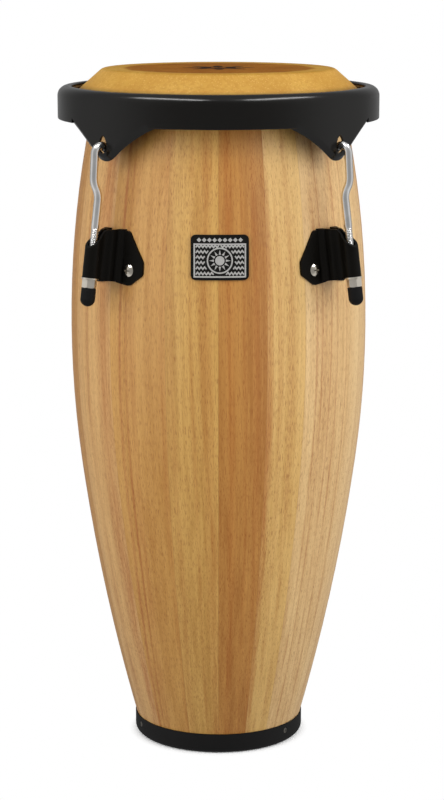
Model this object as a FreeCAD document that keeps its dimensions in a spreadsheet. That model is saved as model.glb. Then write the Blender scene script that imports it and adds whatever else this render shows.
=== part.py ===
"""A stave-built conga drum with tunable skin head, as a parametric document.

Lengths are millimetres, angles are degrees, +Z is up and the floor is at z = 0.  The origin is the
centre of the drum's foot.  Four tuning lugs stand at 45, 135, 225 and 315 degrees about Z.
"""

import FreeCAD
import Part

import math
import os

import Sketcher


# ---------------------------------------------------------------------------
# Driving dimensions: name, value, meaning
# ---------------------------------------------------------------------------

DRIVING = [
    ("total_height", 711.0, "floor to playing surface"),
    # wooden shell: two tangent sweeps, the upper one widest at the belly
    ("belly_radius", 154.4, "widest outer radius of the wood"),
    ("belly_height", 443.1, "height of the widest place"),
    ("upper_sweep", 1080.0, "radius of the upper side curve"),
    ("lower_sweep", 2107.0, "radius of the lower side curve"),
    ("sweep_joint", 301.9, "height where the two side curves meet"),
    ("wood_wall", 11.0, "thickness of a stave"),
    ("bearing_round", 6.0, "outer rounding of the bearing edge"),
    ("bearing_bevel", 5.0, "drop of the inner bevel of the bearing edge"),
    # skin head and flesh hoop
    ("skin", 2.5, "thickness of the hide"),
    ("hoop_ring", 156.0, "radius of the flesh hoop's centre line"),
    ("hoop_height", 684.5, "height of the flesh hoop"),
    ("hoop_wire", 4.0, "radius of the hoop's steel rod"),
    ("collar_slope", 41.2, "fall of the collar below the horizontal"),
    ("tuck_angle", 45.0, "where the tucked skin ends, from the vertical towards the axis"),
    # comfort rim and its four ears
    ("rim_radius", 166.0, "outer radius of the rim"),
    ("rim_wall", 2.5, "sheet thickness of the rim"),
    ("rim_top", 693.5, "top of the rim"),
    ("rim_bottom", 660.0, "bottom edge of the rim's wall"),
    ("rim_shoulder", 10.0, "outer rounding of the rim's top"),
    ("rim_mouth", 151.5, "inner radius of the rim's top flange"),
    ("ear_half_angle", 19.0, "half of the angle of the relief cut above an ear"),
    ("ear_top", 668.0, "top of the relief cut"),
    ("ear_tip_round", 12.0, "rounding of the ear's tip"),
    ("ear_tip_centre", 642.0, "height of the tip rounding's centre"),
    ("ear_slope", 44.0, "slope of the ear's edges"),
    ("ear_lip", 4.5, "depth of the bent lip"),
    ("eye_half_width", 5.2, "half width of the ear's eye"),
    ("eye_bottom", 633.7, "lowest point of the eye"),
    ("eye_spring", 641.5, "height where the pointed arch of the eye begins"),
    ("eye_top", 651.6, "point of the eye"),
    # tuning hook
    ("rod", 4.0, "radius of the hook rod"),
    ("rod_lean", 9.0, "lean of the lower rod, outward going down"),
    ("nut_ring", 186.0, "radius of the drum axis to the nut's centre"),
    ("nut_height", 506.0, "height of the nut's centre"),
    ("crank_height", 587.0, "height where the rod starts its outward crank"),
    ("crank_round", 20.0, "bend radius of the crank"),
    ("crank_angle", 30.0, "steepest outward lean in the crank"),
    ("upper_lean", 4.0, "lean of the upper rod, outward going down"),
    ("hook_height", 634.0, "height where the hook bend starts"),
    ("hook_round", 8.0, "bend radius of the hook"),
    ("hook_turn", 130.0, "direction of the hook's end, from straight up towards the axis"),
    ("hook_tail", 10.0, "straight end of the hook"),
    # side bracket
    ("plate", 2.5, "sheet thickness of the bracket"),
    ("bore", 5.4, "radius of the bracket's rod sleeve"),
    ("neck_round", 7.5, "outer rounding of the neck"),
    ("neck_half", 4.2, "half width of the neck"),
    ("hump_round", 5.0, "outer rounding of the hump"),
    ("hump_half", 8.5, "half width of the hump"),
    ("foot_round", 6.5, "rounding between hump and flange"),
    ("foot_rise", 23.0, "rod axis to the start of the foot rounding"),
    ("flange_top", 558.0, "top of the bracket at its middle"),
    ("flange_bottom", 505.5, "bottom of the bracket at its middle"),
    ("flange_crown_half", 20.0, "half width of the flanges' upper corners"),
    ("flange_crown_top", 556.5, "height of the upper corners"),
    ("flange_toe_half", 22.5, "half width of the flanges' lower corners"),
    ("flange_toe_bottom", 502.5, "height of the lower corners"),
    ("flange_half", 37.6, "half width of the bracket"),
    ("flange_side_top", 526.8, "top of the flange's straight side"),
    ("flange_side_bottom", 513.7, "bottom of the flange's straight side"),
    ("flange_corner", 5.0, "rounding of the flange's corners"),
    ("sleeve_lip", 541.8, "lowest point of the sleeve's slanted mouth"),
    ("mouth_ring", 165.5, "radius where the slanted mouth reaches the bracket's top"),
    ("step_ring", 172.0, "radius where the sleeve's end steps down to the hump"),
    ("step_rise", 2.6, "rise of the bracket's lower edge from the wall out to that step"),
    # lug hardware on the rod
    ("nut_across", 13.0, "lug nut across its flats"),
    ("nut_thick", 8.4, "height of the lug nut"),
    ("thread_play", 0.05, "running clearance of nut on rod"),
    ("washer_thick", 1.6, "thickness of the lug washer"),
    ("washer_radius", 8.3, "outer radius of the lug washer"),
    ("washer_play", 0.2, "clearance of washer on rod"),
    ("cap_radius", 7.35, "outer radius of the rubber cap"),
    ("cap_length", 18.4, "length of the rubber cap"),
    ("cap_depth", 12.4, "depth of the cap's socket"),
    ("cap_edge", 0.8, "rounding of the cap's upper edge"),
    ("end_gap", 0.4, "gap between rod end and socket floor"),
    # bracket bolts
    ("bolt", 3.0, "radius of a bracket bolt"),
    ("bolt_side", 21.9, "distance of a bolt from the lug's middle"),
    ("bolt_height", 517.7, "height of the bolt head"),
    ("bolt_head", 6.0, "radius of the bolt head"),
    ("bolt_head_thick", 3.6, "height of the domed bolt head"),
    ("bolt_head_rim", 0.8, "height of the head's upright rim"),
    ("bolt_reach", 22.2, "length of the bolt under its head"),
    ("cross_span", 3.2, "half span of the driver cross"),
    ("cross_half", 0.65, "half width of a cross slot"),
    ("cross_depth", 2.0, "depth of the driver cross"),
    ("inner_washer", 9.0, "radius of the washer inside the shell"),
    ("inner_washer_thick", 1.2, "thickness of that washer"),
    ("inner_washer_gap", 0.35, "stand-off of a flat washer in the hollow wall"),
    ("inner_nut_across", 10.0, "inner nut across its flats"),
    ("inner_nut_thick", 5.0, "height of the inner nut"),
    # foot
    ("foot_radius", 89.8, "outer radius of the rubber foot ring"),
    ("foot_height", 21.4, "height of the foot ring"),
    ("foot_floor", 4.0, "rubber under the wood"),
    ("foot_inner", 70.0, "inner radius of the foot ring's floor"),
    ("foot_edge", 7.0, "rounding of the ring's lower edge"),
    ("screw", 1.75, "radius of a foot screw"),
    ("screw_head", 2.9, "radius of its head"),
    ("screw_head_thick", 1.8, "height of its head"),
    ("screw_head_rim", 0.9, "height of the head's upright rim"),
    ("screw_sink", 1.1, "depth of the counterbore"),
    ("screw_reach", 10.0, "length under the head"),
    ("screw_height", 14.0, "height of the foot screws"),
    ("screw_cross_span", 1.7, "half span of the driver cross"),
    ("screw_cross_half", 0.4, "half width of its slots"),
    ("screw_cross_depth", 1.0, "depth of the cross"),
    # badge
    ("badge_half_width", 28.7, "half width of the badge"),
    ("badge_half_height", 22.25, "half height of the badge"),
    ("badge_corner", 5.0, "rounding of the badge's corners"),
    ("badge_height", 534.3, "height of the badge's centre"),
    ("badge_thick", 1.2, "thickness of the metal plate"),
    ("pad_thick", 0.6, "thickness of the adhesive pad"),
]

# Angles about Z, from +X towards +Y.
LUG_ANGLES = [-45.0, 45.0, 135.0, 225.0]
BADGE_ANGLE = -91.0
SCREW_ANGLES = [-39.0, 81.0, 201.0]

NUT_BEVEL = 30.0
# How far out the cutter for a nut's bevel reaches, as a share of the width across the flats.
NUT_BEVEL_REACH = 0.62

# The ear's lip is folded inward by this angle.  The ear's blocks start in front of the rim's face and
# end behind its lip, and the cutting block is taller than the ear.
EAR_FOLD = 45.0
EAR_FRONT = 3.0
EAR_BACK = 16.0
EAR_CUT_MARGIN = 4.0

# The staves are boards of uneven width, glued edge to edge from the first joint round.
FIRST_JOINT = -162.0
STAVE_WIDTHS = [25.5, 25.0, 20.0, 18.5, 16.0, 26.0, 21.0, 18.0, 21.0, 19.0, 19.0, 20.0, 19.0, 15.0,
                15.0, 19.0, 23.0, 20.0]


# ---------------------------------------------------------------------------
# Sizes that hold both a number and the expression behind it
# ---------------------------------------------------------------------------

class Size:
    """A number together with the sheet expression that gives it."""

    def __init__(self, number, words):
        self.number = float(number)
        self.words = words

    def __add__(self, other):
        return joined(self, "+", other, lambda a, b: a + b)

    def __radd__(self, other):
        return joined(other, "+", self, lambda a, b: a + b)

    def __sub__(self, other):
        return joined(self, "-", other, lambda a, b: a - b)

    def __rsub__(self, other):
        return joined(other, "-", self, lambda a, b: a - b)

    def __mul__(self, other):
        return joined(self, "*", other, lambda a, b: a * b)

    def __rmul__(self, other):
        return joined(other, "*", self, lambda a, b: a * b)

    def __truediv__(self, other):
        return joined(self, "/", other, lambda a, b: a / b)

    def __neg__(self):
        return 0.0 - self


def sized(value):
    """The value as a Size."""
    if isinstance(value, Size):
        return value
    return Size(value, repr(float(value)))


def joined(first, sign, second, rule):
    """Two sizes put together by an arithmetic sign."""
    a = sized(first)
    b = sized(second)
    return Size(rule(a.number, b.number), f"({a.words} {sign} {b.words})")


def sine(angle):
    """Sine of an angle in degrees."""
    angle = sized(angle)
    return Size(math.sin(math.radians(angle.number)), f"sin({angle.words})")


def cosine(angle):
    """Cosine of an angle in degrees."""
    angle = sized(angle)
    return Size(math.cos(math.radians(angle.number)), f"cos({angle.words})")


def tangent(angle):
    """Tangent of an angle in degrees."""
    angle = sized(angle)
    return Size(math.tan(math.radians(angle.number)), f"tan({angle.words})")


def root(value):
    """Square root."""
    value = sized(value)
    return Size(math.sqrt(value.number), f"sqrt({value.words})")


def other_side(long_side, short_side):
    """The second short side of a right triangle."""
    return root(long_side * long_side - short_side * short_side)


# ---------------------------------------------------------------------------
# The document and its sheet
# ---------------------------------------------------------------------------

doc = FreeCAD.newDocument("conga_drum")
sheet = doc.addObject("Spreadsheet::Sheet", "sizes")
sheet.set("A1", "name")
sheet.set("B1", "value")
sheet.set("C1", "meaning")
size = {}
for row, (alias, value, meaning) in enumerate(DRIVING, start=2):
    sheet.set(f"A{row}", alias)
    sheet.set(f"B{row}", str(value))
    sheet.set(f"C{row}", meaning)
    sheet.setAlias(f"B{row}", alias)
    size[alias] = Size(value, f"sizes.{alias}")
doc.recompute()

subparts = []


def bind(item, prop, value):
    """Give a property its value through the sheet."""
    value = sized(value)
    item.setExpression(prop, value.words)


def finished(item, label, placement=None):
    """Name an object as a sub-part and put it in its place."""
    item.Label = label
    if placement is not None:
        item.Placement = placement
    subparts.append(item)
    return item


def about_axis(angle):
    """The placement that turns a part about the drum's axis."""
    return FreeCAD.Placement(FreeCAD.Vector(), FreeCAD.Rotation(FreeCAD.Vector(0, 0, 1), angle))


# ---------------------------------------------------------------------------
# Sketches, bodies and booleans
# ---------------------------------------------------------------------------

def origin_part(body, role):
    """A plane or axis of a body's own origin."""
    for part in body.Origin.OriginFeatures:
        if part.Role == role:
            return part
    raise ValueError(role)


def arc_between(start, end, radius, side):
    """The short arc from start to end, and whether it runs from start to end anticlockwise."""
    middle = (start + end) * 0.5
    half = (end - start).Length / 2
    rise = math.sqrt(max(radius * radius - half * half, 0.0))
    across = (end - start).normalize()
    left = FreeCAD.Vector(-across.y, across.x, 0)
    centre = middle + left * (rise * side)
    circle = Part.Circle(centre, FreeCAD.Vector(0, 0, 1), radius)
    first, last = (start, end) if side > 0 else (end, start)
    first_angle = math.atan2(first.y - centre.y, first.x - centre.x)
    last_angle = math.atan2(last.y - centre.y, last.x - centre.x)
    if last_angle < first_angle:
        last_angle += 2 * math.pi
    return Part.ArcOfCircle(circle, first_angle, last_angle)


def draw(sketch, corners, closed=True):
    """Join corners by lines and arcs and bind every corner and radius to the sheet.

    A corner is (across, up), followed by (radius, side) where an arc leads to the next corner;
    side is 1 for an arc that turns left and -1 for one that turns right.
    """
    points = [FreeCAD.Vector(sized(c[0]).number, sized(c[1]).number, 0) for c in corners]
    count = len(corners) if closed else len(corners) - 1
    ends = []
    for place in range(count):
        start = points[place]
        end = points[(place + 1) % len(points)]
        if len(corners[place]) == 4:
            radius, side = corners[place][2:]
            edge = sketch.addGeometry(arc_between(start, end, sized(radius).number, side), False)
            ends.append((edge, 1, 2) if side > 0 else (edge, 2, 1))
            index = sketch.addConstraint(Sketcher.Constraint("Radius", edge, sized(radius).number))
            bind(sketch, f"Constraints[{index}]", radius)
        else:
            edge = sketch.addGeometry(Part.LineSegment(start, end), False)
            ends.append((edge, 1, 2))
    for place in range(count if closed else count - 1):
        after = ends[(place + 1) % count]
        here = ends[place]
        sketch.addConstraint(Sketcher.Constraint("Coincident", here[0], here[2], after[0], after[1]))
    for place, corner in enumerate(corners):
        if place < count:
            edge, end = ends[place][0], ends[place][1]
        else:
            edge, end = ends[count - 1][0], ends[count - 1][2]
        hold(sketch, "DistanceX", edge, end, corner[0], -2)
        hold(sketch, "DistanceY", edge, end, corner[1], -1)
    return sketch


def hold(sketch, kind, edge, end, value, axis):
    """Fix one coordinate of a point of a sketch."""
    if isinstance(value, Size):
        index = sketch.addConstraint(Sketcher.Constraint(kind, -1, 1, edge, end, value.number))
        bind(sketch, f"Constraints[{index}]", value)
    elif value == 0:
        sketch.addConstraint(Sketcher.Constraint("PointOnObject", edge, end, axis))
    else:
        sketch.addConstraint(Sketcher.Constraint(kind, -1, 1, edge, end, value))


def new_body(name):
    """An empty body."""
    return doc.addObject("PartDesign::Body", name)


def sketch_on(body, name, plane, offset=None):
    """A sketch on one of a body's origin planes."""
    sketch = body.newObject("Sketcher::SketchObject", name)
    sketch.AttachmentSupport = [(origin_part(body, plane), "")]
    sketch.MapMode = "FlatFace"
    if offset is not None:
        sketch.AttachmentOffset = offset
    return sketch


def circle_in(sketch, radius):
    """A circle about a sketch's own origin."""
    disc = Part.Circle(FreeCAD.Vector(), FreeCAD.Vector(0, 0, 1), radius.number)
    edge = sketch.addGeometry(disc, False)
    sketch.addConstraint(Sketcher.Constraint("Coincident", edge, 3, -1, 1))
    index = sketch.addConstraint(Sketcher.Constraint("Radius", edge, radius.number))
    bind(sketch, f"Constraints[{index}]", radius)


def turned(name, corners, sweep=360.0):
    """A body turned about Z from an outline in the XZ plane."""
    body = new_body(name)
    sketch = draw(sketch_on(body, name + "_outline", "XZ_Plane"), corners)
    turn = body.newObject("PartDesign::Revolution", name + "_turn")
    turn.Profile = (sketch, [""])
    turn.ReferenceAxis = (origin_part(body, "Z_Axis"), [""])
    bind(turn, "Angle", sweep)
    return body


def padded(name, plane, corners, length, offset=None, midplane=False):
    """A body pushed out of a flat outline."""
    body = new_body(name)
    sketch = draw(sketch_on(body, name + "_outline", plane, offset), corners)
    pad = body.newObject("PartDesign::Pad", name + "_pad")
    pad.Profile = (sketch, [""])
    bind(pad, "Length", length)
    pad.Midplane = midplane
    return body


def cut(name, base, tool):
    """What is left of base after tool is taken away."""
    result = doc.addObject("Part::Cut", name)
    result.Base = base
    result.Tool = tool
    return result


def common(name, base, tool):
    """What two objects share."""
    result = doc.addObject("Part::Common", name)
    result.Base = base
    result.Tool = tool
    return result


def fused(name, items):
    """Several objects as one solid."""
    result = doc.addObject("Part::MultiFuse", name)
    result.Shapes = items
    result.Refine = True
    return result


def grouped(name, items):
    """Several separate solids in one object."""
    result = doc.addObject("Part::Compound", name)
    result.Links = items
    return result


def cylinder(name, radius, length, placement):
    """A cylinder along its own Z."""
    result = doc.addObject("Part::Cylinder", name)
    bind(result, "Radius", radius)
    bind(result, "Height", length)
    result.Placement = placement
    return result


# ---------------------------------------------------------------------------
# The shell's side curve
# ---------------------------------------------------------------------------

UPPER_CENTRE = size["belly_radius"] - size["upper_sweep"]
JOINT_SINE = (size["sweep_joint"] - size["belly_height"]) / size["upper_sweep"]
JOINT_COSINE = root(1.0 - JOINT_SINE * JOINT_SINE)
SWEEP_GAP = size["upper_sweep"] - size["lower_sweep"]
LOWER_CENTRE = UPPER_CENTRE + SWEEP_GAP * JOINT_COSINE
LOWER_CENTRE_HEIGHT = size["belly_height"] + SWEEP_GAP * JOINT_SINE


def upper_ring(height, proud=0.0):
    """Radius of the upper side curve at a height, proud of the wood's face by an amount."""
    return UPPER_CENTRE + other_side(size["upper_sweep"] + proud, height - size["belly_height"])


def lower_ring(height, proud=0.0):
    """Radius of the lower side curve at a height."""
    return LOWER_CENTRE + other_side(size["lower_sweep"] + proud, height - LOWER_CENTRE_HEIGHT)


def joint_corner(proud, side, radius):
    """The corner where the two side curves meet, followed by an arc."""
    reach = size["upper_sweep"] + proud
    return (UPPER_CENTRE + reach * JOINT_COSINE, size["belly_height"] + reach * JOINT_SINE, radius, side)


SKIN_UNDERSIDE = size["total_height"] - size["skin"]
BEARING_HEIGHT = SKIN_UNDERSIDE - size["bearing_round"]
BEARING_REACH = size["upper_sweep"] - size["bearing_round"]
BEARING_SINE = (BEARING_HEIGHT - size["belly_height"]) / BEARING_REACH
BEARING_COSINE = root(1.0 - BEARING_SINE * BEARING_SINE)
BEARING_RING = UPPER_CENTRE + BEARING_REACH * BEARING_COSINE


def stave_outline():
    """The section of the wooden wall, from its foot to the rounded bearing edge."""
    inside = -size["wood_wall"]
    inner_top = SKIN_UNDERSIDE - size["bearing_bevel"]
    upper = size["upper_sweep"]
    lower = size["lower_sweep"]
    edge = (UPPER_CENTRE + upper * BEARING_COSINE, size["belly_height"] + upper * BEARING_SINE)
    return [
        (lower_ring(size["foot_floor"], inside), size["foot_floor"]),
        (lower_ring(size["foot_floor"]), size["foot_floor"], lower, 1),
        joint_corner(0.0, 1, upper),
        (*edge, size["bearing_round"], 1),
        (BEARING_RING, SKIN_UNDERSIDE),
        (upper_ring(inner_top, inside), inner_top, upper + inside, -1),
        joint_corner(inside, -1, lower + inside),
    ]


def ring_between(name, low, high, inner, outer):
    """A band that follows the shell's upper curve between two heights and two offsets."""
    sweep = size["upper_sweep"]
    return turned(name, [
        (upper_ring(low, inner), low),
        (upper_ring(low, outer), low, sweep + outer, 1),
        (upper_ring(high, outer), high),
        (upper_ring(high, inner), high, sweep + inner, -1),
    ])


# ---------------------------------------------------------------------------
# Bolts, washers and nuts of the brackets
# ---------------------------------------------------------------------------

BOLT_REACH = size["upper_sweep"] + size["plate"]
BOLT_SINE = (size["bolt_height"] - size["belly_height"]) / BOLT_REACH
BOLT_TILT = math.degrees(math.asin(BOLT_SINE.number))
BOLT_RING = upper_ring(size["bolt_height"], size["plate"])
BOLT_SPREAD = math.degrees(math.asin(size["bolt_side"].number / BOLT_RING.number))
BOLT_ANGLES = [lug + side * BOLT_SPREAD for lug in LUG_ANGLES for side in (-1, 1)]


def square_to_wall(angle, ring, height, tilt, along=0.0):
    """A placement on the wall whose Z points straight out of it."""
    lean = FreeCAD.Rotation(FreeCAD.Vector(0, 1, 0), 90 - tilt)
    seat = FreeCAD.Placement(FreeCAD.Vector(ring.number, 0, height.number), lean)
    inward = FreeCAD.Placement(FreeCAD.Vector(0, 0, along), FreeCAD.Rotation())
    return about_axis(angle).multiply(seat).multiply(inward)


def bolt_placement(angle, along=0.0):
    """Where a bracket bolt's head sits, or a place along its axis."""
    return square_to_wall(angle, BOLT_RING, size["bolt_height"], BOLT_TILT, along)


def screw_placement(angle):
    """Where a foot screw's head sits."""
    seat = size["foot_radius"] - size["screw_sink"]
    return square_to_wall(angle, seat, size["screw_height"], 0.0)


def drill(name, radius, length, placement):
    """A hole tool from the seat of a fastener inward."""
    inward = FreeCAD.Placement(FreeCAD.Vector(0, 0, -length.number), FreeCAD.Rotation())
    return cylinder(name, radius, length, placement.multiply(inward))


def cross_outline(span, half):
    """The outline of a cross-head recess."""
    return [(span, -half), (span, half), (half, half), (half, span), (-half, span), (-half, half),
            (-span, half), (-span, -half), (-half, -half), (-half, -span), (half, -span), (half, -half)]


def cross_headed(name, shank, reach, head, thick, rim, span, half, depth):
    """A round-headed fastener with a driver cross, its head above z = 0."""
    crown = (head * head + (thick - rim) * (thick - rim)) / (2.0 * (thick - rim))
    body = turned(name, [
        (0, -reach),
        (shank, -reach),
        (shank, 0),
        (head, 0),
        (head, rim, crown, 1),
        (0, thick),
    ])
    top = FreeCAD.Placement(FreeCAD.Vector(0, 0, thick.number), FreeCAD.Rotation())
    sketch = draw(sketch_on(body, name + "_cross", "XY_Plane", top), cross_outline(span, half))
    recess = body.newObject("PartDesign::Pocket", name + "_recess")
    recess.Profile = (sketch, [""])
    bind(recess, "Length", depth)
    return body


def hexagon(across):
    """The six corners of a nut."""
    reach = across / math.sqrt(3.0)
    return [(reach * math.cos(math.radians(60 * n + 30)), reach * math.sin(math.radians(60 * n + 30)))
            for n in range(6)]


def nut(name, across, thick, hole):
    """A plain hexagon nut centred on its own origin, with turned corners."""
    body = padded(name, "XY_Plane", hexagon(across), thick, midplane=True)
    face = thick / 2.0
    wide = across * NUT_BEVEL_REACH
    drop = (wide - across / 2.0) * math.tan(math.radians(NUT_BEVEL))
    for sign in (-1.0, 1.0):
        outline = [(across / 2.0, sign * face), (wide, sign * face), (wide, sign * (face - drop))]
        tag = "_low" if sign < 0 else "_high"
        sketch = draw(sketch_on(body, name + tag, "XZ_Plane"), outline)
        groove = body.newObject("PartDesign::Groove", name + tag + "_bevel")
        groove.Profile = (sketch, [""])
        groove.ReferenceAxis = (origin_part(body, "Z_Axis"), [""])
        groove.Angle = 360.0
    sketch = sketch_on(body, name + "_bore", "XY_Plane")
    circle_in(sketch, hole)
    pocket = body.newObject("PartDesign::Pocket", name + "_thread")
    pocket.Profile = (sketch, [""])
    pocket.Type = "ThroughAll"
    pocket.Midplane = True
    return body


def washer(name, hole, rim, thick):
    """A flat washer standing on z = 0."""
    return turned(name, [(hole, 0), (rim, 0), (rim, thick), (hole, thick)])


def make_bracket_bolts():
    """The eight bolts, with their washers and nuts inside the shell."""
    under_washer = size["plate"] + size["wood_wall"] + size["inner_washer_gap"]
    under_nut = under_washer + size["inner_washer_thick"]
    nut_centre = under_nut + size["inner_nut_thick"] / 2.0
    bolts = []
    washers = []
    nuts = []
    for place, angle in enumerate(BOLT_ANGLES, start=1):
        item = cross_headed(f"bolt_{place}", size["bolt"], size["bolt_reach"], size["bolt_head"],
                            size["bolt_head_thick"], size["bolt_head_rim"], size["cross_span"],
                            size["cross_half"], size["cross_depth"])
        item.Placement = bolt_placement(angle)
        bolts.append(item)
        item = washer(f"inner_washer_{place}", size["bolt"], size["inner_washer"], size["inner_washer_thick"])
        item.Placement = bolt_placement(angle, -under_nut.number)
        washers.append(item)
        item = nut(f"inner_nut_{place}", size["inner_nut_across"], size["inner_nut_thick"], size["bolt"])
        item.Placement = bolt_placement(angle, -nut_centre.number)
        nuts.append(item)
    finished(grouped("bracket_bolts", bolts), "bracket_bolts")
    finished(grouped("bolt_washers", washers), "bolt_washers")
    finished(grouped("bolt_nuts", nuts), "bolt_nuts")


# ---------------------------------------------------------------------------
# Staves
# ---------------------------------------------------------------------------

def inside_turn(angle, start, width):
    """Whether an angle lies within a stave."""
    return (angle - start) % 360.0 < width


def make_staves():
    """The eighteen staves, drilled for the bracket bolts and the foot screws."""
    start = FIRST_JOINT
    for place, width in enumerate(STAVE_WIDTHS, start=1):
        label = f"stave_{place:02d}"
        body = turned(label + "_board", stave_outline(), width)
        body.Placement = about_axis(start)
        tools = []
        for angle in BOLT_ANGLES:
            if inside_turn(angle, start, width):
                spot = bolt_placement(angle)
                tools.append(drill(f"{label}_bolt_drill", size["bolt"], size["bolt_reach"], spot))
        for angle in SCREW_ANGLES:
            if inside_turn(angle, start, width):
                spot = screw_placement(angle)
                tools.append(drill(f"{label}_screw_drill", size["screw"], size["screw_reach"], spot))
        if tools:
            finished(cut(label, body, grouped(label + "_drills", tools)), label)
        else:
            finished(body, label)
        start += width


# ---------------------------------------------------------------------------
# Foot ring
# ---------------------------------------------------------------------------

def make_foot():
    """The rubber ring round the drum's foot, and its three screws."""
    rim = size["foot_radius"]
    edge = size["foot_edge"]
    ring = turned("foot_ring", [
        (size["foot_inner"], 0),
        (rim - edge, 0, edge, 1),
        (rim, edge),
        (rim, size["foot_height"]),
        (lower_ring(size["foot_height"]), size["foot_height"], size["lower_sweep"], -1),
        (lower_ring(size["foot_floor"]), size["foot_floor"]),
        (size["foot_inner"], size["foot_floor"]),
    ])
    tools = []
    screws = []
    for place, angle in enumerate(SCREW_ANGLES, start=1):
        spot = screw_placement(angle)
        tools.append(drill(f"foot_drill_{place}", size["screw"], size["screw_reach"], spot))
        depth = size["screw_sink"] * 2.0
        tools.append(cylinder(f"foot_counterbore_{place}", size["screw_head"], depth, spot))
        item = cross_headed(f"screw_{place}", size["screw"], size["screw_reach"], size["screw_head"],
                            size["screw_head_thick"], size["screw_head_rim"], size["screw_cross_span"],
                            size["screw_cross_half"], size["screw_cross_depth"])
        item.Placement = spot
        screws.append(item)
    finished(cut("base_ring", ring, grouped("foot_drills", tools)), "base_ring")
    finished(grouped("base_screws", screws), "base_screws")


# ---------------------------------------------------------------------------
# Skin head and flesh hoop
# ---------------------------------------------------------------------------

def make_head():
    """The hide, laid over the bearing edge and wrapped round the steel flesh hoop."""
    skin = size["skin"]
    rounding = size["bearing_round"]
    wire = size["hoop_wire"]
    wrap = wire + skin
    ring = size["hoop_ring"]
    level = size["hoop_height"]
    across = sine(size["collar_slope"])
    up = cosine(size["collar_slope"])
    tuck_across = sine(size["tuck_angle"])
    tuck_up = cosine(size["tuck_angle"])
    head = turned("drumhead", [
        (0, SKIN_UNDERSIDE),
        (BEARING_RING, SKIN_UNDERSIDE, rounding, -1),
        (BEARING_RING + rounding * across, BEARING_HEIGHT + rounding * up),
        (ring - wrap * across, level - wrap * up, wrap, 1),
        (ring + wrap, level, wrap, 1),
        (ring, level + wrap, wrap, 1),
        (ring - wrap * tuck_across, level + wrap * tuck_up),
        (ring - wire * tuck_across, level + wire * tuck_up, wire, -1),
        (ring + wire, level, wire, -1),
        (ring - wire * across, level - wire * up),
        (BEARING_RING + (rounding + skin) * across, BEARING_HEIGHT + (rounding + skin) * up,
         rounding + skin, 1),
        (BEARING_RING, size["total_height"]),
        (0, size["total_height"]),
    ])
    finished(head, "drumhead")
    hoop = doc.addObject("Part::Torus", "flesh_hoop")
    bind(hoop, "Radius1", ring)
    bind(hoop, "Radius2", wire)
    finished(hoop, "flesh_hoop", FreeCAD.Placement(FreeCAD.Vector(0, 0, level.number), FreeCAD.Rotation()))


# ---------------------------------------------------------------------------
# Rim
# ---------------------------------------------------------------------------

def rim_ring():
    """The rim's formed band: upright wall, round shoulder and short inward flange."""
    outer = size["rim_radius"]
    wall = size["rim_wall"]
    half = wall / 2.0
    top = size["rim_top"]
    low = size["rim_bottom"]
    bend = size["rim_shoulder"]
    mouth = size["rim_mouth"]
    return turned("rim_band", [
        (outer - half, low, half, 1),
        (outer, low + half),
        (outer, top - bend, bend, 1),
        (outer - bend, top),
        (mouth + half, top, half, 1),
        (mouth, top - half, half, 1),
        (mouth + half, top - wall),
        (outer - bend, top - wall, bend - wall, -1),
        (outer - wall, top - bend),
        (outer - wall, low + half, half, 1),
    ])


def ear_outline(tip, crest):
    """A V with a round tip, closed by a level top edge."""
    slope = size["ear_slope"]
    centre = size["ear_tip_centre"]
    across = tip * sine(slope)
    down = tip * cosine(slope)
    half = (tip + (crest - centre) * cosine(slope)) / sine(slope)
    return [
        (-across, centre - down, tip, 1),
        (across, centre - down),
        (half, crest),
        (-half, crest),
    ]


def ear_block(name, less, crest):
    """A V-shaped block that widens by its own depth towards the drum's axis."""
    sections = []
    for place, depth in enumerate((-EAR_FRONT, EAR_BACK), start=1):
        sketch = doc.addObject("Sketcher::SketchObject", f"{name}_section_{place}")
        facing = FreeCAD.Rotation(FreeCAD.Vector(0, 1, 0), FreeCAD.Vector(0, 0, 1), FreeCAD.Vector(1, 0, 0))
        sketch.Placement = FreeCAD.Placement(
            FreeCAD.Vector(size["rim_radius"].number - depth, 0, 0), facing)
        draw(sketch, ear_outline(size["ear_tip_round"] + depth - less, crest))
        sections.append(sketch)
    loft = doc.addObject("Part::Loft", name)
    loft.Sections = sections
    loft.Solid = True
    loft.Ruled = True
    return loft


def rim_cylinder(name, radius):
    """An upright cylinder past the whole height of the ears."""
    low = size["ear_tip_centre"] - size["ear_tip_round"] - EAR_BACK
    height = size["rim_top"] - low
    lift = FreeCAD.Placement(FreeCAD.Vector(0, 0, low.number), FreeCAD.Rotation())
    return cylinder(name, radius, height, lift)


def eye_outline():
    """A hole with a round bottom and a pointed arch."""
    half = size["eye_half_width"]
    low = size["eye_bottom"] + half
    spring = size["eye_spring"]
    rise = size["eye_top"] - spring
    arch = (half * half + rise * rise) / (2.0 * half)
    return [
        (-half, low, half, 1),
        (0, size["eye_bottom"], half, 1),
        (half, low),
        (half, spring, arch, 1),
        (0, size["eye_top"], arch, 1),
        (-half, spring),
    ]


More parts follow.
